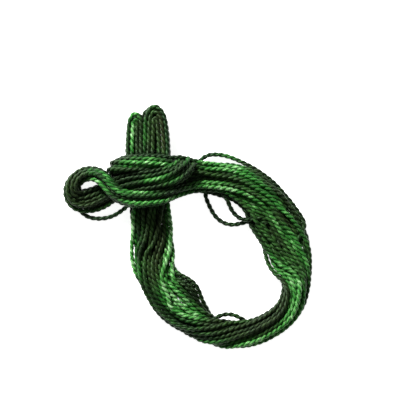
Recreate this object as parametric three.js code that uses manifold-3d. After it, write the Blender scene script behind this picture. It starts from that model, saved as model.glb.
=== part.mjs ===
// A skein of thick two-ply pearl cotton, lying on a table. The yarn is wound in long turns, and the bundle
// of strands is curled into a ring and knotted where its two ends cross. One folded end stands out above
// the knot, the other opens into a small eye to its left, and a few strands have strayed out of the ring.
// Millimetres, +Z up. The origin is under the middle of the skein, at the height of the table.
import * as THREE from "three";
import { mergeVertices } from "three/addons/utils/BufferGeometryUtils.js";
import Module from "manifold-3d";

const wasm = await Module();
wasm.setup();

const YARN = 1.15; // thickness of the yarn
const TURNS = 13; // turns in the skein, each of which passes twice through the ring
const PACKING = 0.945; // share of a bundle's section that is yarn
const SINK = 0.3; // depth by which the underside is pressed flat on the table
const GROOVE = 0.2; // depth of the hollow between two strands
const LOCK_GROOVE = 0.45; // depth of the hollow between two locks of strands
const LOCK = 3; // strands in a lock
const POINTS_PER_STRAND = 2; // points of a section's outline on each strand
const RING_STRANDS = 18; // strands that show round the ring's bundle
const KNOT_STRANDS = 10; // strands that show round the half bundle in the knot
const STRAY_SIDES = 8; // sides of a single strand
const STRAY_STEP = 2.4; // length of one step along a single strand
const LEVELLING = 0.4; // how strongly one step of a sweep levels the width of the bundle

const STRAND_AREA = (Math.PI * YARN ** 2) / 4 / PACKING;
const RING_AREA = 2 * TURNS * STRAND_AREA;
const KNOT_AREA = TURNS * STRAND_AREA;

// The whole bundle, from the knot down its left side, round the ring and back to the knot. A row is one
// section: its centre, how far its underside is lifted off the table, half its width, and the angle in
// degrees that the strands have turned round the bundle.
const RING = table("x y lift wide turn", [
  [-9.9, 16.25, 1.7, 5.6, -60],
  [-9.9, 12, 1.8, 5.5, -40],
  [-9.75, 8, 1.6, 5.3, -20],
  [-9.75, 4, 0.9, 5.25, 0],
  [-9.1, -0.5, 0.2, 5.6, 10],
  [-8.75, -5.5, 0, 6.4, 38],
  [-8.6, -10, 0, 5.7, 52],
  [-7.1, -14, 0, 4.9, 70],
  [-3.25, -18.25, 0, 5.6, 95],
  [1, -22.6, 0, 5, 75],
  [5.75, -25.75, 0, 3.8, 15],
  [10.5, -26.6, 0, 3.85, -35],
  [15.75, -26.4, 0, 3.4, -60],
  [20, -24.75, 0, 3.4, -70],
  [23.6, -22.5, 0, 3.4, -75],
  [25.9, -19.25, 0, 3.5, -82],
  [26.9, -15.75, 0, 3.6, -95],
  [27.1, -12, 0, 4.3, -120],
  [25.5, -8, 0, 6.2, -145],
  [24.5, -3.75, 0, 6.8, -165],
  [22.6, 0.6, 0, 6.2, -180],
  [20.5, 3.75, 0, 5.9, -188],
  [18.75, 7.2, 0, 5.3, -195],
  [13.35, 11.05, 0, 4.9, -205],
  [8.25, 12.5, 0, 4.7, -212],
  [4, 13.2, 0, 4.1, -220],
  [0, 12.9, 0.2, 3.4, -228],
]);

// The folded end above the knot, in two humps. A row also gives half the thickness.
const RIGHT_HUMP = table("x y lift wide tall turn", [
  [-7.6, 15.75, 1.9, 3.4, 1.65, 0],
  [-7.6, 19.5, 1.4, 3.4, 1.65, 6],
  [-7.75, 23.25, 0.9, 3.2, 1.65, 12],
  [-8, 26.5, 0.6, 2.7, 1.6, 18],
  [-8.25, 28.75, 0.5, 2, 1.5, 22],
  [-8.25, 29.9, 0.6, 1.2, 1.2, 24],
  [-8.25, 30.35, 1.1, 0.5, 0.6, 24],
]);
const LEFT_HUMP = table("x y lift wide tall turn", [
  [-13.1, 15.75, 1.9, 2.5, 1.65, 0],
  [-13.1, 19.5, 1.4, 2.4, 1.6, -6],
  [-13, 23.25, 0.9, 2.2, 1.55, -12],
  [-12.75, 26, 0.6, 1.8, 1.45, -18],
  [-12.6, 27.75, 0.6, 1.3, 1.2, -20],
  [-12.6, 28.6, 1, 0.5, 0.6, -20],
]);

// Half of the bundle, through the knot: left along the knot's lower rim, round the eye at the far left,
// back over the knot's middle, over the ring's upper edge, left behind the knot, round its left end, and
// right along its upper rim. A row gives the centre's own height.
const KNOT = table("x y z wide turn", [
  [7.5, 11.9, 1.65, 2.6, -8],
  [4, 11.2, 2.1, 2.2, 0],
  [0.5, 10.5, 2.9, 2.2, 8],
  [-2.5, 9.4, 4.6, 2.1, 16],
  [-5.75, 8.1, 6.6, 2.4, 24],
  [-9.5, 7.4, 6.9, 2.5, 30],
  [-13.25, 7.25, 6.7, 2.5, 34],
  [-16.4, 7.7, 5.8, 2.4, 36],
  [-18.7, 9.4, 5.5, 2.3, 30],
  [-20.6, 11.9, 5, 2, 24],
  [-22.6, 13.5, 3.8, 1.9, 18],
  [-25, 13.6, 2.7, 1.9, 10],
  [-27.3, 13, 2.3, 1.9, 0],
  [-28.95, 11.1, 2.1, 2, -10],
  [-29.2, 8.75, 1.9, 2.2, -20],
  [-28.1, 6.9, 1.6, 2.6, -28],
  [-26.3, 6.6, 1.4, 3.1, -34],
  [-24, 7.2, 1.25, 3.6, -38],
  [-21.5, 8.1, 1.5, 3.4, -40],
  [-19, 9.5, 2.8, 2.9, -44],
  [-16.5, 10.9, 5.2, 2.6, -50],
  [-13, 11.8, 7, 2.8, -56],
  [-9, 12, 7.5, 3, -64],
  [-5.5, 12.5, 7.5, 3, -72],
  [-2.75, 13.4, 7.2, 2.8, -80],
  [-1, 14.6, 6.4, 2.6, -88],
  [-0.3, 15.5, 4.9, 2.4, -92],
  [-0.2, 15.8, 3.2, 2.4, -94],
  [-0.6, 15.2, 1.5, 2.8, -94],
  [-2.5, 13.8, 0.7, 4.2, -92],
  [-5.75, 12.5, 0.75, 5, -90],
  [-10, 12, 0.8, 5.2, -88],
  [-14, 13, 0.8, 4.4, -86],
  [-16.6, 14, 1, 3.4, -84],
  [-18.1, 14.8, 2.3, 2.6, -80],
  [-18.4, 15.25, 4.1, 2.3, -74],
  [-17.2, 15.6, 5.8, 2.2, -68],
  [-14.25, 15.9, 6.8, 2.1, -62],
  [-10, 16, 6.9, 2.1, -56],
  [-5.75, 15.9, 6.2, 2.1, -50],
  [-2, 15.4, 4.4, 2, -44],
  [1, 14.8, 2.9, 1.9, -40],
  [4, 14.7, 2.1, 2.1, -36],
  [7.5, 13.6, 1.65, 2.6, -32],
]);
// The knot is swept in four lengths, because it crosses itself. These are the rows where they meet.
const KNOT_CUTS = [0, 13, 23, 32, KNOT.length - 1];

// Single strands that have strayed out of the bundle, each as the points of its centre line.
const STRAYS = {
  large_loop: table("x y z", [
    [6.25, 11.25, 0.8],
    [4.75, 10.1, 0.9],
    [3.9, 9, 1.3],
    [4.2, 7.8, 1.5],
    [5, 6.2, 1.2],
    [6, 4, 0.7],
    [7.25, 2.25, 0.6],
    [8.75, 1.1, 0.6],
    [10.75, 0.6, 0.6],
    [12.75, 0.9, 0.6],
    [14.6, 1.6, 0.9],
    [17, 2, 1.4],
  ]),
  small_loop: table("x y z", [
    [9, 8.75, 2.2],
    [10.25, 6.5, 2.2],
    [10.5, 4.9, 1.8],
    [11.5, 3.3, 1.6],
    [12.9, 2.2, 1.8],
    [14.8, 1.7, 2],
    [17, 2.6, 1.8],
  ]),
  outer_arc: table("x y z", [
    [27.8, -2.5, 1.3],
    [29, 0.6, 1.1],
    [28.1, 3.2, 0.8],
    [26, 6.3, 0.7],
    [22.7, 10, 0.7],
    [19.5, 12.9, 0.7],
    [16.4, 15.1, 0.7],
    [13.4, 16.6, 0.6],
    [9.75, 18.1, 0.6],
    [6.75, 18.6, 0.6],
    [4.3, 18.2, 0.9],
    [2.75, 16.75, 1.8],
  ]),
  inner_bow: table("x y z", [
    [5.5, -24, 2.4],
    [7.75, -21.85, 2.6],
    [10, -21.35, 2.6],
    [12.25, -21.9, 2.6],
    [15, -24, 2.6],
  ]),
  low_loop: table("x y z", [
    [-13.5, 6.75, 3.6],
    [-15.75, 4.9, 2.4],
    [-17.5, 3.6, 1.4],
    [-19.5, 2.6, 0.8],
    [-21.75, 2.2, 0.6],
    [-24, 2.3, 0.6],
    [-26, 3, 0.7],
    [-27.2, 4.3, 1],
    [-27, 6.5, 1.2],
  ]),
};

// Turns a list of rows into objects whose fields have the names given.
function table(names, rows) {
  const keys = names.split(" ");
  return rows.map((row) => Object.fromEntries(keys.map((key, i) => [key, row[i]])));
}

// One value of a table at a place between its rows, on a smooth curve through all of them.
function smooth(rows, key, place) {
  const last = rows.length - 1;
  const i = Math.min(Math.floor(place), last - 1);
  const t = place - i;
  const [a, b, c, d] = [i - 1, i, i + 1, i + 2].map((n) => rows[Math.min(Math.max(n, 0), last)][key]);
  return b + 0.5 * t * (c - a + t * (2 * a - 5 * b + 4 * c - d + t * (3 * (b - c) + d - a)));
}

// The point at a share of the way round an ellipse, with the direction that it faces.
function rimPoint(share, wide, tall) {
  const samples = 72;
  const at = (n) => new THREE.Vector2(
    wide * Math.cos((2 * Math.PI * n) / samples),
    tall * Math.sin((2 * Math.PI * n) / samples),
  );
  const reach = [0];
  for (let n = 0; n < samples; n++) reach.push(reach[n] + at(n).distanceTo(at(n + 1)));
  const wanted = (((share % 1) + 1) % 1) * reach[samples];
  const n = reach.findIndex((length) => length > wanted) - 1;
  const point = at(n).lerp(at(n + 1), (wanted - reach[n]) / (reach[n + 1] - reach[n]));
  const facing = new THREE.Vector2(point.x / wide ** 2, point.y / tall ** 2).normalize();
  return { point, facing };
}

// The outline of a bundle's section, ribbed with its strands.
function outline(strands, wide, tall, turn) {
  const count = strands * POINTS_PER_STRAND;
  return Array.from({ length: count }, (_, n) => {
    const { point, facing } = rimPoint(n / count + turn / 360, wide, tall);
    const between = n % POINTS_PER_STRAND === 0;
    const depth = between ? (n % (POINTS_PER_STRAND * LOCK) === 0 ? LOCK_GROOVE : GROOVE) : 0;
    const room = 0.5 * Math.min(wide, tall);
    return point.addScaledVector(facing, -Math.min(depth, room));
  });
}

// A closed solid from sections with the same number of points.
function skin(sections) {
  const count = sections[0].length;
  const middle = (points) =>
    points.reduce((sum, p) => sum.add(p), new THREE.Vector3()).divideScalar(count);
  const points = [...sections.flat(), middle(sections[0]), middle(sections.at(-1))];
  const [start, end] = [points.length - 2, points.length - 1];
  const faces = [];
  sections.slice(1).forEach((_, s) => {
    for (let n = 0; n < count; n++) {
      const [a, b] = [s * count + n, s * count + ((n + 1) % count)];
      faces.push(a, b, b + count, a, b + count, a + count);
    }
  });
  for (let n = 0; n < count; n++) {
    const last = (sections.length - 1) * count;
    faces.push(start, (n + 1) % count, n, end, last + n, last + ((n + 1) % count));
  }
  const vertProperties = new Float32Array(points.flatMap((p) => p.toArray()));
  return new wasm.Manifold(new wasm.Mesh({ numProp: 3, vertProperties, triVerts: new Uint32Array(faces) }));
}

// Sweeps a ribbed section along some rows of a table. The section is carried along without twisting, and
// its width is levelled a little at each step unless the bundle is climbing steeply.
function sweep(rows, { strands, area = 0, from = 0, to = rows.length - 1, perRow = 2 }) {
  const read = (key, place) => smooth(rows, key, place);
  const centre = (place) => {
    const lifted = "lift" in rows[0];
    const z = lifted ? read("lift", place) + tall(place) - SINK : read("z", place);
    return new THREE.Vector3(read("x", place), read("y", place), z);
  };
  const tall = (place) => ("tall" in rows[0] ? read("tall", place) : area / Math.PI / read("wide", place));
  const heading = (place) => {
    const [before, after] = [Math.max(place - 0.05, 0), Math.min(place + 0.05, rows.length - 1)];
    return centre(after).sub(centre(before)).normalize();
  };
  const across = new THREE.Vector3().crossVectors(new THREE.Vector3(0, 0, 1), heading(0)).normalize();
  const sections = [];
  for (let step = 0; step <= to * perRow; step++) {
    const place = step / perRow;
    const ahead = heading(place);
    const level = new THREE.Vector3(-ahead.y, ahead.x, 0);
    across.addScaledVector(level, LEVELLING * Math.sign(level.dot(across)));
    across.addScaledVector(ahead, -across.dot(ahead)).normalize();
    if (place < from) continue;
    const up = new THREE.Vector3().crossVectors(ahead, across);
    const flat = outline(strands, read("wide", place), tall(place), read("turn", place));
    sections.push(flat.map((p) => centre(place).addScaledVector(across, p.x).addScaledVector(up, p.y)));
  }
  return skin(sections);
}

// A single strand along the points of its centre line.
function strand(rows) {
  const path = new THREE.CatmullRomCurve3(rows.map(({ x, y, z }) => new THREE.Vector3(x, y, z)));
  const circle = new THREE.Path().absarc(0, 0, YARN / 2, 0, 2 * Math.PI);
  const section = new THREE.Shape(circle.getPoints(STRAY_SIDES / 2));
  const steps = Math.ceil(path.getLength() / STRAY_STEP);
  return solid(new THREE.ExtrudeGeometry(section, { extrudePath: path, steps, bevelEnabled: false }));
}

// A closed three.js geometry as a solid that can be joined and cut.
function solid(geometry) {
  geometry.deleteAttribute("normal");
  geometry.deleteAttribute("uv");
  const merged = mergeVertices(geometry, 1e-4);
  return new wasm.Manifold(new wasm.Mesh({
    numProp: 3,
    vertProperties: merged.attributes.position.array,
    triVerts: new Uint32Array(merged.index.array),
  }));
}

// A solid as a named mesh.
function piece(name, body, material) {
  const mesh = body.getMesh();
  const geometry = new THREE.BufferGeometry();
  geometry.setAttribute("position", new THREE.BufferAttribute(mesh.vertProperties, 3));
  geometry.setIndex(new THREE.BufferAttribute(mesh.triVerts, 1));
  geometry.computeVertexNormals();
  const made = new THREE.Mesh(geometry, material);
  made.name = name;
  return made;
}

function skein() {
  const bundles = [
    sweep(RING, { strands: RING_STRANDS, area: RING_AREA }),
    sweep(RIGHT_HUMP, { strands: KNOT_STRANDS }),
    sweep(LEFT_HUMP, { strands: KNOT_STRANDS }),
    ...KNOT_CUTS.slice(1).map((to, n) =>
      sweep(KNOT, { strands: KNOT_STRANDS, area: KNOT_AREA, from: KNOT_CUTS[n], to })),
    ...Object.values(STRAYS).map(strand),
  ];
  const joined = bundles.reduce((sum, bundle) => sum.add(bundle));
  const depth = 10;
  const table = new THREE.BoxGeometry(100, 100, depth).translate(0, 0, -depth / 2);
  const parts = joined.subtract(solid(table)).decompose();
  return parts.sort((a, b) => b.volume() - a.volume())[0];
}

const cotton = new THREE.MeshStandardMaterial({ color: 0x1f4a22, roughness: 0.55, metalness: 0 });
const group = new THREE.Group();
group.add(piece("skein", skein(), cotton));

export default group;
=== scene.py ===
"""A knotted skein of thick two-ply pearl cotton, hand-dyed in greens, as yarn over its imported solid.

The yarn's turns are laid along the same tables as the solid, settled against each other and the table
top, and spun into two plies by a Geometry Nodes tree. Lengths in the tables are in millimetres.
"""
import math

import bpy
import numpy as np
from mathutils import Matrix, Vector

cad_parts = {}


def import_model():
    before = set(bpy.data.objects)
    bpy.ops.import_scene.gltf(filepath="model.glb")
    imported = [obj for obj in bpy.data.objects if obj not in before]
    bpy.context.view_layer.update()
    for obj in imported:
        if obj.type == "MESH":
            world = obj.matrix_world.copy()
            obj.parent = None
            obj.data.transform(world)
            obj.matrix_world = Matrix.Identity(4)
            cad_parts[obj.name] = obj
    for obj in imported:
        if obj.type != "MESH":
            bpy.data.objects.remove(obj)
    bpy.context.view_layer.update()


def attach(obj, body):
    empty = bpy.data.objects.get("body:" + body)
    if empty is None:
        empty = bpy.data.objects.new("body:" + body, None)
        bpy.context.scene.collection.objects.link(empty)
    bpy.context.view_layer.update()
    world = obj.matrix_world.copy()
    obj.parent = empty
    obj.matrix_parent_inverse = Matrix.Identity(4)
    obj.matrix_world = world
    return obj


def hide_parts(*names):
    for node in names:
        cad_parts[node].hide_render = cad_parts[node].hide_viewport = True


MM = 0.001

# The yarn: two plies in a left-handed twist.
YARN = 1.15  # thickness of the yarn
TWIST_LENGTH = 3.0  # length of yarn in which the plies go round each other once
PLY = 0.8  # thickness of a ply
PLY_OFFSET = 0.2  # from the middle of the yarn to the middle of a ply
PLY_SIDES = 7
PLY_STEP = 0.25  # length of one step along the yarn

# The bundle of strands, with the same values as the solid.
TURNS = 13  # each turn passes twice through the ring
PACKING = 0.945  # share of a bundle's section that is yarn
STRAND_AREA = math.pi * YARN**2 / 4 / PACKING
RING_AREA = 2 * TURNS * STRAND_AREA
KNOT_AREA = TURNS * STRAND_AREA
LEVELLING = 0.4  # how strongly half a row of a table levels the width of the bundle

# How each strand drifts inside the bundle.
WANDER = 0.1  # as a share of the bundle's half width and half thickness
WANDER_LENGTH = 45.0  # length of one wave
SEED = 7

# How the strands settle against each other and on the table.
SPACING = 0.7  # distance between the points of a path
CONTACT = 1.08  # distance at which two strands touch
SETTLING_ROUNDS = 160
SEARCH_ROUNDS = 4  # rounds between two searches for neighbours
SEARCH_REACH = 1.5 * CONTACT
OWN_POINTS = 3  # points this near along the same strand never push each other
ROUNDING, LAST_ROUNDING = 4, 2  # rounds that even out a path before and after it settles
HOLD, HOLD_LOST = 0.14, 0.08  # pull towards the guide at first, and how much of it is lost by the end
STIFFNESS = 0.3  # how far a round straightens a bend
CROWDING = 0.6  # share of the touching neighbours that a push is divided by


def table(names, rows):
    """Rows of numbers as arrays, one for each named column."""
    return dict(zip(names.split(), np.array(rows, float).T))


# The whole bundle, from the knot down its left side, round the ring and back to the knot.
RING = table("x y lift wide turn", [
    (-9.9, 16.25, 1.7, 5.6, -60),
    (-9.9, 12, 1.8, 5.5, -40),
    (-9.75, 8, 1.6, 5.3, -20),
    (-9.75, 4, 0.9, 5.25, 0),
    (-9.1, -0.5, 0.2, 5.6, 10),
    (-8.75, -5.5, 0, 6.4, 38),
    (-8.6, -10, 0, 5.7, 52),
    (-7.1, -14, 0, 4.9, 70),
    (-3.25, -18.25, 0, 5.6, 95),
    (1, -22.6, 0, 5, 75),
    (5.75, -25.75, 0, 3.8, 15),
    (10.5, -26.6, 0, 3.85, -35),
    (15.75, -26.4, 0, 3.4, -60),
    (20, -24.75, 0, 3.4, -70),
    (23.6, -22.5, 0, 3.4, -75),
    (25.9, -19.25, 0, 3.5, -82),
    (26.9, -15.75, 0, 3.6, -95),
    (27.1, -12, 0, 4.3, -120),
    (25.5, -8, 0, 6.2, -145),
    (24.5, -3.75, 0, 6.8, -165),
    (22.6, 0.6, 0, 6.2, -180),
    (20.5, 3.75, 0, 5.9, -188),
    (18.75, 7.2, 0, 5.3, -195),
    (13.35, 11.05, 0, 4.9, -205),
    (8.25, 12.5, 0, 4.7, -212),
    (4, 13.2, 0, 4.1, -220),
    (0, 12.9, 0.2, 3.4, -228),
])
RING_END = 24.2  # the row at which the bundle parts into the two halves of the knot

# Half of the bundle, through the knot and round the eye at the far left.
KNOT = table("x y z wide turn", [
    (7.5, 11.9, 1.65, 2.6, -8),
    (4, 11.2, 2.1, 2.2, 0),
    (0.5, 10.5, 2.9, 2.2, 8),
    (-2.5, 9.4, 4.6, 2.1, 16),
    (-5.75, 8.1, 6.6, 2.4, 24),
    (-9.5, 7.4, 6.9, 2.5, 30),
    (-13.25, 7.25, 6.7, 2.5, 34),
    (-16.4, 7.7, 5.8, 2.4, 36),
    (-18.7, 9.4, 5.5, 2.3, 30),
    (-20.6, 11.9, 5, 2, 24),
    (-22.6, 13.5, 3.8, 1.9, 18),
    (-25, 13.6, 2.7, 1.9, 10),
    (-27.3, 13, 2.3, 1.9, 0),
    (-28.95, 11.1, 2.1, 2, -10),
    (-29.2, 8.75, 1.9, 2.2, -20),
    (-28.1, 6.9, 1.6, 2.6, -28),
    (-26.3, 6.6, 1.4, 3.1, -34),
    (-24, 7.2, 1.25, 3.6, -38),
    (-21.5, 8.1, 1.5, 3.4, -40),
    (-19, 9.5, 2.8, 2.9, -44),
    (-16.5, 10.9, 5.2, 2.6, -50),
    (-13, 11.8, 7, 2.8, -56),
    (-9, 12, 7.5, 3, -64),
    (-5.5, 12.5, 7.5, 3, -72),
    (-2.75, 13.4, 7.2, 2.8, -80),
    (-1, 14.6, 6.4, 2.6, -88),
    (-0.3, 15.5, 4.9, 2.4, -92),
    (-0.2, 15.8, 3.2, 2.4, -94),
    (-0.6, 15.2, 1.5, 2.8, -94),
    (-2.5, 13.8, 0.7, 4.2, -92),
    (-5.75, 12.5, 0.75, 5, -90),
    (-10, 12, 0.8, 5.2, -88),
    (-14, 13, 0.8, 4.4, -86),
    (-16.6, 14, 1, 3.4, -84),
    (-18.1, 14.8, 2.3, 2.6, -80),
    (-18.4, 15.25, 4.1, 2.3, -74),
    (-17.2, 15.6, 5.8, 2.2, -68),
    (-14.25, 15.9, 6.8, 2.1, -62),
    (-10, 16, 6.9, 2.1, -56),
    (-5.75, 15.9, 6.2, 2.1, -50),
    (-2, 15.4, 4.4, 2, -44),
    (1, 14.8, 2.9, 1.9, -40),
    (4, 14.7, 2.1, 2.1, -36),
    (7.5, 13.6, 1.65, 2.6, -32),
])
KNOT_START, KNOT_FINISH = 1.5, 41.5  # the rows between which this half runs on its own

# The folded end above the knot is two humps. Each turn is an arch between two seats at the knot, and
# the arches lie inside each other in three layers.
FOLD_TURNS = table("left right tip top layer", [
    (-15.1, -11.3, -12.9, 29.7, 1),
    (-14, -12.4, -13.1, 28.4, 1),
    (-11.2, -4.9, -8.3, 31.3, 1),
    (-10.1, -6, -8.2, 30.2, 1),
    (-9, -7.1, -8.1, 29, 1),
    (-14.6, -13, -13.5, 28.8, 0),
    (-10.7, -5.5, -8.3, 30.9, 0),
    (-9.5, -7.7, -8.6, 29.8, 0),
    (-15.3, -11.8, -13.2, 28.8, -1),
    (-14.2, -10.7, -12.4, 29.4, -1),
    (-12.9, -4.8, -9, 30.6, -1),
    (-9.8, -5.9, -8.1, 30.5, -1),
    (-8.9, -7, -8, 29.4, -1),
])
FOLD_FOOT = 16.25  # where the arches stand, at the knot's upper rim
FOLD_HEIGHT = table("y z", [(16.25, 3.6), (19.5, 2.75), (23.25, 2.3), (26.5, 2), (30.5, 1.7)])
FOLD_LAYER = 1.0  # height of a layer above the next one
FOLD_SHOULDER = 0.75  # below 1, an arch keeps its width for longer on its left side
ARCH_DETAIL = 48  # points on one arch

# Single strands that have strayed out of the bundle. Their ends are hidden inside it.
STRAYS = {
    "large_loop": table("x y z", [
        (8, 12, 0.8),
        (6.25, 11.25, 0.8),
        (4.75, 10.1, 0.9),
        (3.9, 9, 1.3),
        (4.2, 7.8, 1.5),
        (5, 6.2, 1.2),
        (6, 4, 0.7),
        (7.25, 2.25, 0.6),
        (8.75, 1.1, 0.6),
        (10.75, 0.6, 0.6),
        (12.75, 0.9, 0.6),
        (14.6, 1.6, 0.9),
        (17, 2, 1.4),
        (20, 1, 1.8),
    ]),
    "small_loop": table("x y z", [
        (7, 11.5, 1.8),
        (9, 8.75, 2.2),
        (10.25, 6.5, 2.2),
        (10.5, 4.9, 1.8),
        (11.5, 3.3, 1.6),
        (12.9, 2.2, 1.8),
        (14.8, 1.7, 2),
        (17, 2.6, 1.8),
        (20, 2.4, 1.8),
    ]),
    "outer_arc": table("x y z", [
        (26, -6.5, 1.7),
        (27.8, -2.5, 1.3),
        (29, 0.6, 1.1),
        (28.1, 3.2, 0.8),
        (26, 6.3, 0.7),
        (22.7, 10, 0.7),
        (19.5, 12.9, 0.7),
        (16.4, 15.1, 0.7),
        (13.4, 16.6, 0.6),
        (9.75, 18.1, 0.6),
        (6.75, 18.6, 0.6),
        (4.3, 18.2, 0.9),
        (2.75, 16.75, 1.8),
        (2, 14.5, 1.8),
    ]),
    "outer_side": table("x y z", [
        (19.5, 9, 1.6),
        (22.3, 8, 1.2),
        (24.7, 5.8, 0.9),
        (26.6, 2.6, 0.9),
        (27.9, -1, 1.1),
        (28, -5, 1.6),
    ]),
    "inner_bow": table("x y z", [
        (3, -25.2, 2.2),
        (5.5, -24, 2.4),
        (7.75, -21.85, 2.6),
        (10, -21.35, 2.6),
        (12.25, -21.9, 2.6),
        (15, -24, 2.6),
        (18, -25, 2.4),
    ]),
    "low_loop": table("x y z", [
        (-11, 8, 3.6),
        (-13.5, 6.75, 3.6),
        (-15.75, 4.9, 2.4),
        (-17.5, 3.6, 1.4),
        (-19.5, 2.6, 0.8),
        (-21.75, 2.2, 0.6),
        (-24, 2.3, 0.6),
        (-26, 3, 0.7),
        (-27.2, 4.3, 1),
        (-27, 6.5, 1.2),
        (-25, 7.5, 1.3),
    ]),
}
STRAY_DETAIL = 200  # points on one stray strand

# Some strands have slackened on the inside of the ring and stand out in a hump. The rest lie tighter.
SLACK_ROW = 8.05  # the ring's row at the middle of the hump
SLACK_ROWS = 0.65  # half its length, in rows
SLACK_SIDE, SLACK_TOP = 0.1, 0.7  # seats further inside and lower than this are slack
SLACK_FULL = 0.5  # seats further inside than this move the whole reach
SLACK_REACH = 1.9  # how far slack strands stand out
SLACK_RISE = 1.1  # how far they rise
TIGHTER = 0.9  # how far the other strands are drawn outwards, at most

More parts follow.
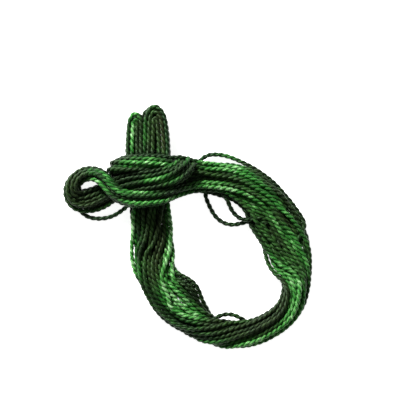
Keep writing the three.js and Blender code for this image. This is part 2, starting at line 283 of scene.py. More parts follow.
# Where the dye has taken light or dark, as streaks over the skein; the streaks named shadow, and those
# over the gaps at the fold and between the knot's light bands, are painted shade instead.
# Each streak: how light it is, how brown, half its width, and the places that it runs through.
DYE_AND_PAINTED_SHADE_STREAKS = [
    ("left edge", 0.84, 0.0, 1.3,
     [(-13.8, 4.5), (-14, 0), (-13.9, -5.5), (-13.3, -9), (-12.2, -12.5)]),
    ("left edge shadow", 0.05, 0.3, 0.5, [(-12.2, 4.5), (-12.1, -3), (-12, -8)]),
    ("left middle", 0.4, 0.6, 1.4, [(-9.5, 4.5), (-9.7, -3), (-9.6, -10), (-8.4, -14)]),
    ("left brown", 0.2, 0.9, 1.0, [(-7.1, 4.5), (-6.8, -1), (-6.7, -4.5), (-7.6, -8), (-7.8, -11)]),
    ("left light", 0.9, 0.0, 1.9,
     [(-4.2, 3.5), (-3.3, -4.2), (-5, -10.5), (-5.4, -13.6), (-3.6, -18.2), (0.3, -21.5)]),
    ("left light foot", 0.9, 0.0, 1.1, [(-5.2, -17.5), (-3.4, -20.2), (-0.6, -21.5), (3, -22)]),
    ("left light inside", 0.9, 0.0, 1.0,
     [(-3.7, -9.5), (-3.6, -14), (-2.6, -18), (-0.5, -20.6), (3, -21.7)]),
    ("slack hump", 0.1, 0.5, 1.3, [(-1.5, -13.3), (1.3, -15.6), (3, -18.6), (6, -21.6)]),
    ("left outside", 0.15, 0.4, 1.5, [(-12, -13.5), (-9.5, -18.5), (-5.5, -23.5), (-1, -27)]),
    ("left teal", 0.33, 0.1, 1.0, [(-9.8, -15), (-7.5, -19), (-4, -22.7), (0, -24)]),
    ("foot", 0.16, 0.3, 1.6, [(-4, -24), (1, -25.8), (6, -26.5)]),
    ("foot brown", 0.22, 0.7, 1.8, [(6, -25), (11, -25.8), (16, -25.5), (20, -24.5)]),
    ("outside light", 0.86, 0.0, 1.1,
     [(4, -29.2), (10.5, -29.8), (16, -28.7), (20.5, -26.6), (24.3, -24)]),
    ("right light", 0.8, 0.0, 1.8,
     [(24.3, -24), (27, -20.5), (27.5, -17), (26.6, -13.5), (24.4, -10.8)]),
    ("right crossing", 0.78, 0.0, 1.0, [(27, -14), (24.5, -11), (21.8, -9), (20, -7)]),
    ("inside brown", 0.1, 0.8, 1.2,
     [(23.6, -13.5), (24, -17), (23.3, -20), (21.5, -22.8), (17.5, -24.6)]),
    ("right middle", 0.6, 0.4, 2.0, [(19, 3), (21.5, -2), (24.5, -6.5), (27.5, -11)]),
    ("right shadow", 0.04, 0.6, 0.9, [(18.3, 4.5), (20.4, 0.5), (22.4, -3.2), (24, -5.5)]),
    ("right edge shadow", 0.06, 0.5, 0.6, [(29, 1), (30.3, -2), (31, -5), (31, -9), (30.2, -13)]),
    ("right edge teal", 0.55, 0.0, 0.5, [(31.2, -9), (31.2, -12), (30.5, -15)]),
    ("bright streak", 0.85, 0.0, 0.9,
     [(15.5, 7), (20, 3.2), (23.2, 0), (25.8, -2.8), (28.2, -6), (29.8, -9.5), (30, -13)]),
    ("outer streak", 0.8, 0.0, 1.1,
     [(11, 14.6), (14.5, 12.8), (18, 10), (21.4, 6.7), (24.4, 3.6), (27.5, 0), (29.5, -4)]),
    ("brown streak", 0.12, 1.0, 0.6, [(22.5, 4), (25, 1.4), (27.8, -1.4), (29.4, -4.6)]),
    ("outer rim", 0.25, 0.6, 0.7, [(14, 16), (18.5, 13.2), (22, 9.3), (25.5, 4.5), (28.5, 0)]),
    ("inner rim", 0.15, 0.4, 0.8,
     [(6, 8.4), (11, 7), (14.5, 3), (16.8, -0.5), (18.3, -4.5), (19.8, -8.3)]),
    ("inner grey", 0.5, 0.4, 0.6, [(13, 7.2), (16, 3.7), (18, 0), (19.2, -3.5)]),
    ("top row", 0.84, 0.0, 0.8, [(2.5, 16.6), (6, 15.9), (11, 14.6)]),
    ("grey row", 0.42, 0.5, 0.8, [(2.5, 13.9), (8, 13.3), (13, 11.7), (17, 8.5)]),
    ("dark row", 0.05, 0.5, 0.4, [(1.5, 12.7), (8, 12.2), (13, 10)]),
    ("bright rows", 0.86, 0.1, 1.0, [(1, 11), (6, 11), (10.5, 10), (15.5, 7)]),
    ("knot rim", 0.02, 0.2, 0.75, [(-19, 17), (-15.4, 18.2), (-9, 18.4), (-4, 17.1), (1.1, 16.1)]),
    ("knot right end", 0.03, 0.4, 1.3, [(-1.5, 17), (0.8, 16), (1.8, 14), (0.3, 11.8)]),
    ("wrap light", 0.88, 0.0, 0.85,
     [(-19.2, 14.4), (-17.5, 15.6), (-13.3, 16.2), (-8.2, 16), (-4, 15.4)]),
    ("wrap dark", 0.02, 0.4, 0.95,
     [(-18.8, 12), (-15.4, 13.1), (-9, 13.9), (-2.3, 14.3), (1.5, 15.2)]),
    ("wrap patch", 0.9, 0.0, 0.8, [(-10.3, 12), (-6.9, 12.4), (-3.1, 11.6)]),
    ("wrap low dark", 0.03, 0.5, 0.7, [(-17.5, 10.5), (-13.3, 10.5), (-8.2, 9.9), (-3.1, 9.9)]),
    ("band top", 0.85, 0.0, 0.45,
     [(-20.9, 14.4), (-19.6, 11), (-17, 9.1), (-13.3, 8.6), (-8.2, 8.8)]),
    # Painted shade in the gap between the two light bands at its left end, and dark dye along the rest
    # of it.
    ("band dark and gap shade", 0.03, 0.3, 0.6,
     [(-22.6, 13.9), (-20.9, 11), (-18, 7.7), (-13.3, 7.3), (-7.8, 7.5), (-4.8, 8.4)]),
    ("band bottom", 0.88, 0.0, 0.75,
     [(-23.5, 13.1), (-20.5, 9.3), (-18.4, 5.9), (-8.2, 5.4), (-4, 7.1), (0.3, 8.8)]),
    ("eye", 0.25, 0.7, 2.0, [(-23, 7), (-28, 7), (-29.5, 10), (-27, 13)]),
    ("fold left edge", 0.15, 0.2, 0.5, [(-15, 18), (-14.8, 24), (-14, 27)]),
    ("fold light", 0.9, 0.0, 0.45, [(-13.7, 18), (-13.6, 24), (-13.4, 27.5), (-12.6, 28.6)]),
    # Painted shade in the gap where the two humps meet.
    ("fold gap shade", 0.03, 0.6, 0.6, [(-12.3, 18), (-12.3, 27), (-11.5, 28)]),
    ("fold middle light", 0.6, 0.1, 0.5, [(-10.8, 18), (-10.9, 24)]),
    ("fold middle", 0.33, 0.6, 1.2, [(-8.7, 18), (-8.6, 25), (-8.3, 29.5)]),
    ("fold brown", 0.25, 1.0, 0.5, [(-6.2, 18), (-6.2, 24), (-7.2, 28.5)]),
    ("fold right edge", 0.12, 0.0, 0.5, [(-5, 18), (-5.1, 23), (-5.9, 27)]),
]
TOP_LAYER = 0.35  # strands no deeper than this below the top take the whole of a streak
LAYER_SEEN = 0.9  # how much deeper a streak still reaches
# Painted shade: strands that lie under others are painted darker.
DEEPER_PAINTED_SHADE = 0.3  # how much darker a strand is for each millimetre that it lies deeper
STRAYS_DARKER = 0.12
PLAIN_LIGHT, PLAIN_BROWN = 0.3, 0.25  # the dye away from the streaks
PLAIN_WEIGHT = 0.15  # how strongly the plain dye holds out against a streak
PLAIN_LEFT = 0.25  # how much of its waves shows in a streak
# Its waves: the length of yarn that each takes, and how far it swings.
DYE_WAVES = [(110.0, 0.12), (47.0, 0.1), (19.0, 0.12), (9.0, 0.08)]
BROWN_SWING = 1.5  # how much further the brown swings than the light
DYE_SOAKING = 6  # rounds in which the dye soaks into its surroundings along the yarn

# The yarn is shown in lengths that part deep inside the knot, where their ends can't be seen.
LENGTHS = 7
DEEP = 3.0  # how much of the knot has to lie over an end
KNOT_MIDDLE, KNOT_REACH = (-9.5, 12.5), 4


def smooth(column, place):
    """A column's value at places between its rows, on a smooth curve through all of them."""
    place = np.atleast_1d(np.asarray(place, float))
    last = len(column) - 1
    i = np.minimum(np.floor(place).astype(int), last - 1)
    t = place - i
    a, b, c, d = (column[np.clip(i + n, 0, last)] for n in (-1, 0, 1, 2))
    return b + 0.5 * t * (c - a + t * (2 * a - 5 * b + 4 * c - d + t * (3 * (b - c) + d - a)))


def unit(vectors):
    """The same vectors, each with a length of one."""
    return vectors / np.maximum(np.linalg.norm(vectors, axis=-1, keepdims=True), 1e-9)


class Bundle:
    """The centre line of a bundle of strands, with the directions of its width and its thickness."""

    def __init__(self, rows, area, start, finish, step=0.05):
        self.place = np.arange(0, finish + step / 2, step)
        read = {key: smooth(column, self.place) for key, column in rows.items()}
        self.wide = read["wide"]
        self.tall = area / math.pi / self.wide
        self.turn = np.radians(read["turn"])
        height = read["z"] if "z" in rows else read["lift"] + self.tall
        self.centre = np.stack([read["x"], read["y"], height], axis=1)
        ahead = unit(np.gradient(self.centre, axis=0))
        across = unit(np.cross((0, 0, 1), ahead[0]))
        self.across = np.empty_like(ahead)
        for n, way in enumerate(ahead):
            level = np.array([-way[1], way[0], 0])
            across = across + LEVELLING * 2 * step * np.sign(level @ across) * level
            across = unit(across - (across @ way) * way)
            self.across[n] = across
        self.up = np.cross(ahead, self.across)
        kept = self.place >= start - 1e-6
        for name in ("place", "wide", "tall", "turn", "centre", "across", "up"):
            setattr(self, name, getattr(self, name)[kept])

    def strand(self, radius, angle, wander):
        """The guide of a strand that keeps its seat in the bundle, apart from a slow wander."""
        round_about = angle + self.turn
        u = radius * np.cos(round_about) + wander[:, 0]
        v = radius * np.sin(round_about) + wander[:, 1]
        reach = np.maximum(np.hypot(u, v), 1)
        u, v = u / reach, v / reach
        margin = YARN / 2
        side = (np.maximum(self.wide - margin, 0.1) * u)[:, None] * self.across
        lift = (np.maximum(self.tall - margin, 0.1) * v)[:, None] * self.up
        return self.centre + side + lift


def slackened(ring, strands):
    """Lets the innermost strands at one place of the ring stand up, and draws the others outwards."""
    hump = np.exp(-(((ring.place - SLACK_ROW) / SLACK_ROWS) ** 2))[:, None]
    row = np.argmin(np.abs(ring.place - SLACK_ROW))
    moved = []
    for strand in strands:
        inside = (strand[row] - ring.centre[row]) @ ring.across[row] / ring.wide[row]
        height = (strand[row] - ring.centre[row]) @ ring.up[row] / ring.tall[row]
        if inside > SLACK_SIDE and height < SLACK_TOP:
            reach = SLACK_REACH * min((inside - SLACK_SIDE) / (SLACK_FULL - SLACK_SIDE), 1)
            moved.append(strand + hump * (SLACK_RISE * ring.up + reach * ring.across))
        else:
            moved.append(strand - TIGHTER * (inside + 1) / 2 * hump * ring.across)
    return moved


def seats(strands):
    """Each strand's seat in a bundle, as a share of the radius and an angle, spread like seeds."""
    golden = math.pi * (3 - math.sqrt(5))
    return [(math.sqrt((n + 0.5) / strands), n * golden) for n in range(strands)]


def wandering(rng, points, strength):
    """A slow drift from side to side along a strand, with a quicker and weaker one on top."""
    length = np.linspace(0, 1, len(points))
    total = np.linalg.norm(np.diff(points, axis=0), axis=1).sum()
    waves = max(total / WANDER_LENGTH, 0.5)
    phase = rng.uniform(0, 2 * math.pi, 4)
    slow = 2 * math.pi * waves * length
    quick = 4.7 * math.pi * waves * length
    u = np.sin(slow + phase[0]) + 0.6 * np.sin(quick + phase[1])
    v = np.sin(slow + phase[2]) + 0.6 * np.sin(quick + phase[3])
    return strength * np.stack([u, v], axis=1)


def matched(ends, starts):
    """Pairs each end with its own start, the nearest ones first."""
    gaps = np.linalg.norm(ends[:, None] - starts[None], axis=2)
    pairs = {}
    for _ in range(len(ends)):
        i, j = np.unravel_index(np.argmin(gaps), gaps.shape)
        pairs[i] = j
        gaps[i] = np.inf
        gaps[:, j] = np.inf
    return pairs


def fold_turn(left, right, tip, top, layer):
    """One turn's arch at the folded end of the skein, from its left seat to its right one."""
    t = np.linspace(0, math.pi, ARCH_DETAIL)
    on_left = np.cos(t) > 0
    swing = np.abs(np.cos(t)) ** np.where(on_left, FOLD_SHOULDER, 1)
    x = tip + np.where(on_left, left - tip, right - tip) * swing
    y = FOLD_FOOT + (top - FOLD_FOOT) * np.sin(t)
    z = np.interp(y, FOLD_HEIGHT["y"], FOLD_HEIGHT["z"]) + FOLD_LAYER * layer
    return np.stack([x, y, z], axis=1)


def guides():
    """The closed loops of yarn that the skein is wound from, each as points of its centre line."""
    rng = np.random.default_rng(SEED)
    ring = Bundle(RING, RING_AREA, 0, RING_END)
    knot = Bundle(KNOT, KNOT_AREA, KNOT_START, KNOT_FINISH)
    ring_strands = [
        ring.strand(radius, angle, wandering(rng, ring.centre, WANDER))
        for radius, angle in seats(2 * TURNS)
    ]
    ring_strands = slackened(ring, ring_strands)
    knot_strands = [
        knot.strand(radius, angle, wandering(rng, knot.centre, WANDER / 2))
        for radius, angle in seats(TURNS)
    ]
    tops = np.array([strand[0] for strand in ring_strands])
    tails = np.array([strand[-1] for strand in ring_strands])
    # Half of the strands go into the knot's lower rim and the other half come out of its upper rim.
    by_side = np.argsort(tails[:, 1])
    lower, upper = by_side[:TURNS], by_side[TURNS:]
    enter = matched(tails[lower], np.array([strand[0] for strand in knot_strands]))
    leave = matched(tails[upper], np.array([strand[-1] for strand in knot_strands]))
    into = {lower[i]: (j, 1) for i, j in enter.items()}
    into.update({upper[i]: (j, -1) for i, j in leave.items()})
    out_of = {(j, way): ring_strand for ring_strand, (j, way) in into.items()}
    # At the folded end, each strand goes to the nearest free seat of an arch.
    arches = list(zip(*(FOLD_TURNS[key] for key in ("left", "right", "tip", "top", "layer"))))
    arch_points = [fold_turn(*arch) for arch in arches]
    seat_places = np.array([end for points in arch_points for end in (points[0], points[-1])])
    taken = {seat: strand for strand, seat in matched(tops, seat_places).items()}
    fold = {}
    for n, points in enumerate(arch_points):
        left, right = taken[2 * n], taken[2 * n + 1]
        fold[left] = (right, points)
        fold[right] = (left, points[::-1])
    # The yarn is followed down the ring, through the knot, back up the ring and over the fold.
    loops = []
    waiting = set(range(2 * TURNS))
    while waiting:
        first = strand = min(waiting)
        parts = []
        while True:
            waiting.discard(strand)
            parts.append(ring_strands[strand])
            j, way = into[strand]
            parts.append(knot_strands[j][::way])
            other = out_of[(j, -way)]
            waiting.discard(other)
            parts.append(ring_strands[other][::-1])
            strand, points = fold[other]
            parts.append(points)
            if strand == first:
                break
        loops.append(np.concatenate(parts))
    return loops


def evened(points, spacing, closed):
    """The same path with its points at even distances."""
    if closed:
        points = np.vstack([points, points[:1]])
    reach = np.concatenate([[0], np.cumsum(np.linalg.norm(np.diff(points, axis=0), axis=1))])
    count = int(round(reach[-1] / spacing))
    wanted = np.linspace(0, reach[-1], count, endpoint=not closed)
    return np.stack([np.interp(wanted, reach, points[:, axis]) for axis in range(3)], axis=1)


def softened(values, rounds, closed):
    """Values along a path, evened out between neighbours."""
    for _ in range(rounds):
        eased = 0.5 * values + 0.25 * (np.roll(values, 1, axis=0) + np.roll(values, -1, axis=0))
        if not closed:
            eased[0], eased[-1] = values[0], values[-1]
        values = eased
    return values


def close_pairs(points, reach):
    """All pairs of points nearer to each other than a distance."""
    cells = np.floor((points - points.min(axis=0)) / reach).astype(np.int64) + 1
    width = cells.max(axis=0) + 2
    key = (cells[:, 0] * width[1] + cells[:, 1]) * width[2] + cells[:, 2]
    order = np.argsort(key, kind="stable")
    ranked = key[order]
    near, far = [], []
    for dx in (-1, 0, 1):
        for dy in (-1, 0, 1):
            for dz in (-1, 0, 1):
                if (dx, dy, dz) < (0, 0, 0):
                    continue
                wanted = key + (dx * width[1] + dy) * width[2] + dz
                low = np.searchsorted(ranked, wanted, "left")
                counts = np.searchsorted(ranked, wanted, "right") - low
                before = np.concatenate([[0], np.cumsum(counts)[:-1]])
                i = np.repeat(np.arange(len(points)), counts)
                j = order[np.repeat(low - before, counts) + np.arange(counts.sum())]
                if (dx, dy, dz) == (0, 0, 0):
                    i, j = i[i < j], j[i < j]
                near.append(i)
                far.append(j)
    i, j = np.concatenate(near), np.concatenate(far)
    kept = ((points[i] - points[j]) ** 2).sum(axis=1) < reach**2
    return i[kept], j[kept]


def settle(paths):
    """Pushes overlapping strands apart and off the table, while each stays near its guide.

    A path is its points and whether it is a closed loop.
    """
    sizes = np.array([len(points) for points, _ in paths])
    starts = np.concatenate([[0], np.cumsum(sizes)[:-1]])
    index = np.arange(sizes.sum())
    owner = np.repeat(np.arange(len(paths)), sizes)
    closed = np.array([is_closed for _, is_closed in paths])[owner]
    first, size = starts[owner], sizes[owner]
    ahead = first + (index - first + 1) % size
    behind = first + (index - first - 1) % size
    inner = closed | ((index != first) & (index != first + size - 1))
    guide = np.concatenate([points for points, _ in paths])
    points = guide.copy()
    for turn in range(SETTLING_ROUNDS):
        if turn % SEARCH_ROUNDS == 0:
            i, j = close_pairs(points, SEARCH_REACH)
            apart = np.abs(i - j)
            apart = np.where(closed[i], np.minimum(apart, size[i] - apart), apart)
            kept = (owner[i] != owner[j]) | (apart > OWN_POINTS)
            i, j = i[kept], j[kept]
        ease = turn / SETTLING_ROUNDS
        points = points + (HOLD - HOLD_LOST * ease) * (guide - points)
        bend = 0.5 * (points[ahead] + points[behind]) - points
        points = points + STIFFNESS * bend * inner[:, None]
        gap = points[i] - points[j]
        distance = np.maximum(np.linalg.norm(gap, axis=1), 1e-6)
        push = np.maximum(CONTACT - distance, 0) / distance * 0.5
        shift = gap * push[:, None]
        touching = np.bincount(i, push > 0, len(points)) + np.bincount(j, push > 0, len(points))
        for axis in range(3):
            along = shift[:, axis]
            total = np.bincount(i, along, len(points)) - np.bincount(j, along, len(points))
            points[:, axis] += total / np.maximum(CROWDING * touching, 1)
        points[:, 2] = np.maximum(points[:, 2], YARN / 2)
    return [points[start : start + count] for start, count in zip(starts, sizes)]


def wound_paths():
    """Every length of yarn in the skein, settled, with whether it is a closed loop."""
    paths = [(softened(evened(loop, SPACING, True), ROUNDING, True), True) for loop in guides()]
    for stray in STRAYS.values():
        place = np.linspace(0, len(stray["x"]) - 1, STRAY_DETAIL)
        points = np.stack([smooth(stray[axis], place) for axis in "xyz"], axis=1)
        paths.append((evened(points, SPACING, False), False))
    return [
        (softened(points, LAST_ROUNDING, closed), closed)
        for points, (_, closed) in zip(settle(paths), paths)
    ]


def add(tree, kind, inputs=None, **settings):
    """Adds a node. An input is a value, or the output of another node that is linked to it."""
    node = tree.nodes.new(kind)
    for name, value in settings.items():
        setattr(node, name, value)
    for socket, value in (inputs or {}).items():
        if isinstance(value, bpy.types.NodeSocket):
            tree.links.new(value, node.inputs[socket])
        else:
            node.inputs[socket].default_value = value
    return node


def linear(hex_colour):
    """An sRGB hex colour as the linear colour that a shader takes."""
    channels = [int(hex_colour[n : n + 2], 16) / 255 for n in (1, 3, 5)]
    return [c / 12.92 if c <= 0.04045 else ((c + 0.055) / 1.055) ** 2.4 for c in channels] + [1]


def two_ply_tree():
    """Spins each path into two plies that wind round each other."""
    tree = bpy.data.node_groups.new("two_ply_yarn", "GeometryNodeTree")
    face = tree.interface
    face.new_socket("Path", in_out="INPUT", socket_type="NodeSocketGeometry")
    for name in ("Twist length", "Ply thickness", "Ply offset", "Step"):
        face.new_socket(name, in_out="INPUT", socket_type="NodeSocketFloat")
    face.new_socket("Sides", in_out="INPUT", socket_type="NodeSocketInt")
    face.new_socket("Cotton", in_out="INPUT", socket_type="NodeSocketMaterial")
    face.new_socket("Yarn", in_out="OUTPUT", socket_type="NodeSocketGeometry")
    given = tree.nodes.new("NodeGroupInput").outputs
    curve = add(tree, "GeometryNodeMeshToCurve", {"Mesh": given["Path"]})
    rounded = add(
        tree,
        "GeometryNodeCurveSplineType",
        {"Curve": curve.outputs[0]},
        spline_type="CATMULL_ROM",
    )
    even = add(
        tree,
        "GeometryNodeResampleCurve",
        {"Curve": rounded.outputs[0], "Length": given["Step"]},
        mode="LENGTH",
    )
    along = add(tree, "GeometryNodeSplineParameter").outputs["Length"]
    marked = add(
        tree,
        "GeometryNodeStoreNamedAttribute",
        {"Geometry": even.outputs[0], "Name": "along", "Value": along},
        data_type="FLOAT",
        domain="POINT",
    )
    plies = add(
        tree,
        "GeometryNodeDuplicateElements",
        {"Geometry": marked.outputs[0], "Amount": 2},
        domain="SPLINE",
    )
    numbered = add(
        tree,
        "GeometryNodeStoreNamedAttribute",
        {"Geometry": plies.outputs[0], "Name": "ply", "Value": plies.outputs["Duplicate Index"]},
        data_type="FLOAT",
        domain="POINT",
    )
    length = add(tree, "GeometryNodeInputNamedAttribute", {"Name": "along"}, data_type="FLOAT")
    ply = add(tree, "GeometryNodeInputNamedAttribute", {"Name": "ply"}, data_type="FLOAT")
    # The second ply starts on the other side of the yarn.
    turns = add(
        tree,
        "ShaderNodeMath",
        {0: length.outputs[0], 1: given["Twist length"]},
        operation="DIVIDE",
    )
    left_hand = add(
        tree,
        "ShaderNodeMath",
        {0: turns.outputs[0], 1: -2 * math.pi},
        operation="MULTIPLY",
    )
    opposite = add(tree, "ShaderNodeMath", {0: ply.outputs[0], 1: math.pi}, operation="MULTIPLY")
    angle = add(
        tree,
        "ShaderNodeMath",
        {0: left_hand.outputs[0], 1: opposite.outputs[0]},
        operation="ADD",
    ).outputs[0]
    outward = add(
        tree,
        "ShaderNodeVectorRotate",
        {
            "Vector": add(tree, "GeometryNodeInputNormal").outputs[0],
            "Axis": add(tree, "GeometryNodeInputTangent").outputs[0],
            "Angle": angle,
        },
        rotation_type="AXIS_ANGLE",
    ).outputs[0]
    offset = add(
        tree,
        "ShaderNodeVectorMath",
        {0: outward, "Scale": given["Ply offset"]},
        operation="SCALE",
    )
    middle = add(
        tree,
        "GeometryNodeStoreNamedAttribute",
        {
            "Geometry": numbered.outputs[0],
            "Name": "middle",
            "Value": add(tree, "GeometryNodeInputPosition").outputs[0],
        },
        data_type="FLOAT_VECTOR",
        domain="POINT",
    )
    wound = add(
        tree,
        "GeometryNodeSetPosition",
        {"Geometry": middle.outputs[0], "Offset": offset.outputs[0]},
    )
    radius = add(tree, "ShaderNodeMath", {0: given["Ply thickness"], 1: 0.5}, operation="MULTIPLY")
    circle = add(
        tree,
        "GeometryNodeCurvePrimitiveCircle",
        {"Resolution": given["Sides"], "Radius": radius.outputs[0]},
    )
    round_about = add(tree, "GeometryNodeSplineParameter").outputs["Factor"]
    profile = add(
        tree,
        "GeometryNodeStoreNamedAttribute",
        {"Geometry": circle.outputs[0], "Name": "around", "Value": round_about},
        data_type="FLOAT",
        domain="POINT",
    )
    spun = add(
        tree,
        "GeometryNodeCurveToMesh",
        {"Curve": wound.outputs[0], "Profile Curve": profile.outputs[0], "Fill Caps": True},
    )
    # The distance of each point from the yarn's middle, which the material uses to paint shade into the
    # groove between the plies.
    strand_middle = add(
        tree,
        "GeometryNodeInputNamedAttribute",
        {"Name": "middle"},
        data_type="FLOAT_VECTOR",
    )
    from_middle = add(
        tree,
        "ShaderNodeVectorMath",
        {0: add(tree, "GeometryNodeInputPosition").outputs[0], 1: strand_middle.outputs[0]},
        operation="DISTANCE",
    ).outputs["Value"]
    grooved = add(
        tree,
        "GeometryNodeStoreNamedAttribute",
        {"Geometry": spun.outputs[0], "Name": "from_middle", "Value": from_middle},
        data_type="FLOAT",
        domain="POINT",
    )
    shaded = add(tree, "GeometryNodeSetShadeSmooth", {"Geometry": grooved.outputs[0]})
    real = add(tree, "GeometryNodeRealizeInstances", {"Geometry": shaded.outputs[0]})
    dyed = add(
        tree,
        "GeometryNodeSetMaterial",
        {"Geometry": real.outputs[0], "Material": given["Cotton"]},
    )
    out = tree.nodes.new("NodeGroupOutput")
    tree.links.new(dyed.outputs[0], out.inputs[0])
    return tree


def spin(name, paths, tree, cotton):
    """Turns open paths into a mesh of two-ply yarn. A path is its points and their light and brown."""
    points, edges, light, brown = [], [], [], []
    for line, tone, tint in paths:
        start = len(points)
        points.extend(line * MM)
        light.extend(tone)
        brown.extend(tint)
        edges.extend((start + n, start + n + 1) for n in range(len(line) - 1))
    mesh = bpy.data.meshes.new(name + "_path")
    mesh.from_pydata([tuple(p) for p in points], edges, [])
    for key, values in (("dye_light_and_painted_shade", light), ("dye_brown", brown)):
        attribute = mesh.attributes.new(key, "FLOAT", "POINT")
        attribute.data.foreach_set("value", np.array(values, np.float32))
    path = bpy.data.objects.new(name + "_path", mesh)
    bpy.context.collection.objects.link(path)
    spinner = path.modifiers.new("two_ply_yarn", "NODES")
    spinner.node_group = tree
    sizes = {
        "Twist length": TWIST_LENGTH * MM,
        "Ply thickness": PLY * MM,
        "Ply offset": PLY_OFFSET * MM,
        "Step": PLY_STEP * MM,
        "Sides": PLY_SIDES,
        "Cotton": cotton,
    }
    for item in tree.interface.items_tree:
        if item.in_out == "INPUT" and item.name in sizes:
            spinner[item.identifier] = sizes[item.name]
    evaluated = path.evaluated_get(bpy.context.evaluated_depsgraph_get())
    spun = bpy.data.meshes.new_from_object(evaluated)
    bpy.data.objects.remove(path)
    spun.name = name
    piece = bpy.data.objects.new(name, spun)
    bpy.context.collection.objects.link(piece)
    return piece


def fill_ramp(node, stops):
    """Sets a colour ramp to its stops, each a position and an sRGB hex colour."""
    elements = node.color_ramp.elements
    while len(elements) < len(stops):
        elements.new(0.5)
    for element, (position, colour) in zip(elements, stops):
        element.position = position
        element.color = linear(colour)


def mercerised_cotton():
    """Mercerised cotton, dyed by hand: silky plies, with the dye uneven along the yarn, and painted
    shade in the grooves between the plies and on strands that lie under others.
    """
    material = bpy.data.materials.new("mercerised_cotton_hand_dyed_painted_shade")
    material.use_nodes = True
    tree = material.node_tree
    tree.nodes.clear()
    light = add(tree, "ShaderNodeAttribute", attribute_name="dye_light_and_painted_shade").outputs["Fac"]
    brown = add(tree, "ShaderNodeAttribute", attribute_name="dye_brown").outputs["Fac"]
    along = add(tree, "ShaderNodeAttribute", attribute_name="along").outputs["Fac"]
    from_middle = add(tree, "ShaderNodeAttribute", attribute_name="from_middle").outputs["Fac"]
    around = add(tree, "ShaderNodeAttribute", attribute_name="around").outputs["Fac"]
    # Painted shade: the colour is darkened towards the groove between the two plies, and made a little
    # lighter at the top of each ply.
    groove, top = 0.35 * MM, 0.56 * MM
    painted_groove_shade = add(
        tree,
        "ShaderNodeMapRange",
        {"Value": from_middle, "From Min": groove, "From Max": top, "To Min": 0.05, "To Max": 1.1},
    ).outputs["Result"]
    # Fibres lie along the yarn, so they cross each ply at an angle. They are drawn four times too
    # coarse, to show at this distance.
    fibre_twist = 3.3 * MM
    angle = add(tree, "ShaderNodeMath", {0: around, 1: 2 * math.pi}, operation="MULTIPLY").outputs[0]
    fibre_turn = add(
        tree,
        "ShaderNodeMath",
        {0: along, 1: 2 * math.pi / fibre_twist, 2: angle},
        operation="MULTIPLY_ADD",
    ).outputs[0]
    across = add(tree, "ShaderNodeMath", {0: fibre_turn}, operation="COSINE").outputs[0]
    upward = add(tree, "ShaderNodeMath", {0: fibre_turn}, operation="SINE").outputs[0]
    onward = add(tree, "ShaderNodeMath", {0: along, 1: 0.2 / MM}, operation="MULTIPLY").outputs[0]
    fibre_place = add(tree, "ShaderNodeCombineXYZ", {0: across, 1: upward, 2: onward}).outputs[0]
    fibres = add(
        tree,
        "ShaderNodeTexNoise",
        {"Vector": fibre_place, "Scale": 4.0, "Detail": 3.0},
    ).outputs["Fac"]
    # Dye takes unevenly every few millimetres of yarn, and from fibre to fibre.
    place = add(tree, "ShaderNodeTexCoord").outputs["Object"]
    patch_size = 1.6 * MM
    mottle = add(
        tree,
        "ShaderNodeTexNoise",
        {"Vector": place, "Scale": 1 / patch_size, "Detail": 2.0},
    ).outputs["Fac"]
    patches = add(tree, "ShaderNodeMath", {0: mottle, 1: 0.8, 2: -0.4}, operation="MULTIPLY_ADD")
    streaks = add(tree, "ShaderNodeMath", {0: fibres, 1: 0.9, 2: -0.45}, operation="MULTIPLY_ADD")
    spread = add(
        tree,
        "ShaderNodeMath",
        {0: patches.outputs[0], 1: streaks.outputs[0]},
        operation="ADD",
    ).outputs[0]
    shade = add(tree, "ShaderNodeMath", {0: spread, 1: light}, operation="ADD", use_clamp=True)
    # From a thick dark dye bath to a thin one: nearly black, forest green, leaf green, pale green.
    dye = add(tree, "ShaderNodeValToRGB", {"Fac": shade.outputs[0]})
    dark_greens = [(0, "#06160a"), (0.25, "#0b2a0f"), (0.5, "#145016")]
    light_greens = [(0.75, "#2c7a2a"), (0.9, "#62a356"), (1.0, "#a4d29a")]
    fill_ramp(dye, dark_greens + light_greens)
    # Where brown dye has run into the green, it turns to umber in the dark and to grey green in the
    # light.
    greyed = add(tree, "ShaderNodeValToRGB", {"Fac": shade.outputs[0]})
    fill_ramp(greyed, [(0.0, "#100c08"), (0.5, "#34321f"), (1.0, "#6c7856")])
    tinted = add(
        tree,
        "ShaderNodeMix",
        {0: brown, 6: dye.outputs["Color"], 7: greyed.outputs["Color"]},
        data_type="RGBA",
    )
    shadowed = add(
        tree,
        "ShaderNodeVectorMath",
        {0: tinted.outputs[2], "Scale": painted_groove_shade},
        operation="SCALE",
    ).outputs[0]
    bump = add(
        tree,
        "ShaderNodeBump",
        {"Height": fibres, "Strength": 0.9, "Distance": 0.06 * MM},
    )
    # A soft lustre that picks up the dye, because light also comes back from inside the fibres.
    surface = add(
        tree,
        "ShaderNodeBsdfPrincipled",
        {
            "Base Color": shadowed,
            "Roughness": 0.45,
            "IOR": 1.55,
            "Specular IOR Level": 0.35,
            "Specular Tint": linear("#a9e0a0"),
            "Sheen Weight": 0.12,
            "Sheen Roughness": 0.4,
            "Sheen Tint": linear("#8fcf80"),
            "Normal": bump.outputs[0],
        },
    )
    out = add(tree, "ShaderNodeOutputMaterial")
    tree.links.new(surface.outputs[0], out.inputs["Surface"])
    return material


def paper_white():
    """A matt white sheet under the skein, lit from below as on a light box, so shadows are faint."""
    material = bpy.data.materials.new("matt_white_paper")
    material.use_nodes = True
    shader = material.node_tree.nodes["Principled BSDF"]
    shader.inputs["Base Color"].default_value = linear("#f4f4f2")
    shader.inputs["Roughness"].default_value = 0.8
    shader.inputs["Emission Color"].default_value = linear("#ffffff")
    shader.inputs["Emission Strength"].default_value = 0.9
    return material


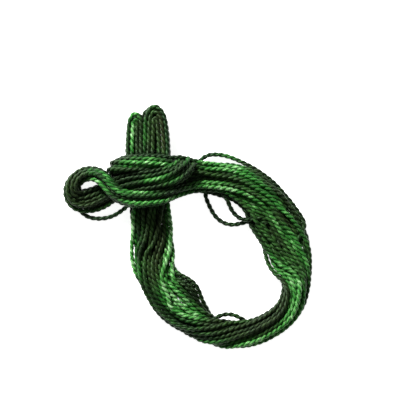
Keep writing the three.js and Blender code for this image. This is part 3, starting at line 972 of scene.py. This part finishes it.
def depth_below_top(points):
    """How far each point lies below the highest strand over it."""
    cell_width = 0.5 * YARN
    cell = np.floor(points[:, :2] / cell_width).astype(int)
    cell -= cell.min(axis=0) - 1
    top = np.full(cell.max(axis=0) + 2, -np.inf)
    np.maximum.at(top, (cell[:, 0], cell[:, 1]), points[:, 2])
    beside = ((0, 0), (1, 0), (-1, 0), (0, 1), (0, -1))
    around = [top[cell[:, 0] + dx, cell[:, 1] + dy] for dx, dy in beside]
    return np.max(around, axis=0) - points[:, 2]


def along_streak(points, ways, streak, half_width):
    """How much each point belongs to a streak: near it, and running the same way."""
    streak = np.array(streak, float)
    weight = np.zeros(len(points))
    for start, finish in zip(streak, streak[1:]):
        run = finish - start
        share = np.clip((points[:, :2] - start) @ run / (run @ run), 0, 1)
        away = np.linalg.norm(points[:, :2] - start - share[:, None] * run, axis=1)
        same_way = np.abs(ways[:, :2] @ run) / np.linalg.norm(run)
        weight = np.maximum(weight, np.exp(-((away / half_width) ** 2)) * same_way**2)
    return weight


def dyes_and_painted_shade(paths):
    """How deep each point of each path lies, and how light and how brown its dye is, with painted shade
    on strands that lie under others and along the streaks of shadow and gaps.
    """
    rng = np.random.default_rng(SEED)
    everywhere = np.concatenate([points for points, _ in paths])
    depth = depth_below_top(everywhere)
    done = 0
    dyed = []
    for points, closed in paths:
        length = np.arange(len(points)) * SPACING
        light = np.full(len(points), PLAIN_LIGHT)
        brown = np.full(len(points), PLAIN_BROWN)
        for wave, swing in DYE_WAVES:
            phase = 2 * math.pi * length / wave
            light += swing * np.sin(phase + rng.uniform(0, 6.28))
            brown += BROWN_SWING * swing * np.sin(phase + rng.uniform(0, 6.28))
        below = depth[done : done + len(points)]
        done += len(points)
        sunk = np.maximum(below - TOP_LAYER, 0)
        seen = np.exp(-sunk / LAYER_SEEN)
        ways = unit(np.roll(points, -1, axis=0) - np.roll(points, 1, axis=0))
        total = np.full(len(points), PLAIN_WEIGHT)
        streaked = np.zeros((len(points), 2))
        # Streaks lay on dye; those over shadows and gaps lay on painted shade.
        for _, tone, tint, half_width, streak in DYE_AND_PAINTED_SHADE_STREAKS:
            weight = along_streak(points, ways, streak, half_width) * seen
            total += weight
            streaked += weight[:, None] * (tone, tint)
        plain = PLAIN_WEIGHT / total
        light = plain * light + streaked[:, 0] / total + PLAIN_LEFT * (light - PLAIN_LIGHT)
        brown = plain * brown + streaked[:, 1] / total
        # Painted shade: a strand is darkened by how deep it lies below the top strands.
        light = softened(light, DYE_SOAKING, closed) - DEEPER_PAINTED_SHADE * np.minimum(sunk, 1)
        if not closed:
            light -= STRAYS_DARKER
        brown = softened(brown, DYE_SOAKING, closed)
        dyed.append((below, np.clip(light, 0, 1), np.clip(brown, 0, 1)))
    return dyed


def cut_up(points, depth, parts):
    """Cuts a closed loop into open lengths at places where it lies deep inside the knot."""
    in_knot = np.abs(points[:, :2] - KNOT_MIDDLE).max(axis=1) < KNOT_REACH
    deep = np.flatnonzero(in_knot & (depth > DEEP))
    wanted = deep[0] + np.arange(parts) * len(points) / parts
    cuts = sorted({deep[np.argmin(np.abs(deep - place))] for place in wanted})
    ends = cuts[1:] + [cuts[0] + len(points)]
    return [np.arange(start, end + 1) % len(points) for start, end in zip(cuts, ends)]


def overhead_camera():
    """A camera that looks straight down, with 0.25 mm to a pixel of the photo at the ring's height."""
    data = bpy.data.cameras.new("camera")
    data.lens = 204.7
    data.sensor_width = 36
    data.clip_end = 10
    camera = bpy.data.objects.new("camera", data)
    camera.location = (0.0055, 0.0045, 0.6)
    bpy.context.collection.objects.link(camera)
    return camera


def sheet_of_paper():
    """The ground, wide enough to fill every view, just under the skein."""
    mesh = bpy.data.meshes.new("floor")
    mesh.from_pydata([(-3, -3, 0), (3, -3, 0), (3, 3, 0), (-3, 3, 0)], [], [(0, 1, 2, 3)])
    mesh.materials.append(paper_white())
    floor = bpy.data.objects.new("floor", mesh)
    floor.location = (0, 0, -0.0001)
    bpy.context.collection.objects.link(floor)
    return floor


def area_light(name, energy, size, place):
    """A square lamp that shines on the middle of the skein."""
    data = bpy.data.lights.new(name, "AREA")
    data.energy = energy
    data.size = size
    lamp = bpy.data.objects.new(name, data)
    lamp.location = place
    middle = Vector((0.004, 0.0, 0.0))
    lamp.rotation_euler = (middle - Vector(place)).to_track_quat("-Z", "Y").to_euler()
    bpy.context.collection.objects.link(lamp)


def studio_world():
    """A weak white light from all round."""
    world = bpy.data.worlds.new("studio")
    world.use_nodes = True
    background = world.node_tree.nodes["Background"]
    background.inputs["Color"].default_value = linear("#ffffff")
    background.inputs["Strength"].default_value = 0.12
    return world


def main():
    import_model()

    cotton = mercerised_cotton()
    tree = two_ply_tree()
    paths = wound_paths()
    dyed = [(points, *dye, closed) for (points, closed), dye in zip(paths, dyes_and_painted_shade(paths))]
    strays = [(points, light, brown) for points, _, light, brown, closed in dyed if not closed]
    loops = [(points, depth, light, brown) for points, depth, light, brown, closed in dyed if closed]
    total = sum(len(loop[0]) for loop in loops)
    lengths = [
        (points[kept], light[kept], brown[kept])
        for points, depth, light, brown in loops
        for kept in cut_up(points, depth, round(LENGTHS * len(points) / total))
    ]
    pieces = {"stray_strands": strays}
    for number, length in enumerate(lengths, 1):
        pieces["wound_yarn_%d" % number] = [length]
    for name, lines in pieces.items():
        piece = spin(name, lines, tree, cotton)
        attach(piece, "root")
        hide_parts("skein")

    floor = sheet_of_paper()

    # A small bright lamp from the upper left gives the glints, and a large weak one softens its shadows.
    area_light("key_light", energy=10.5, size=0.12, place=(-0.31, 0.52, 0.35))
    area_light("fill_light", energy=0.5, size=0.6, place=(0.5, -0.3, 0.6))
    bpy.context.scene.camera = overhead_camera()
    bpy.context.scene.world = studio_world()
    bpy.context.scene.view_settings.view_transform = "Standard"


main()
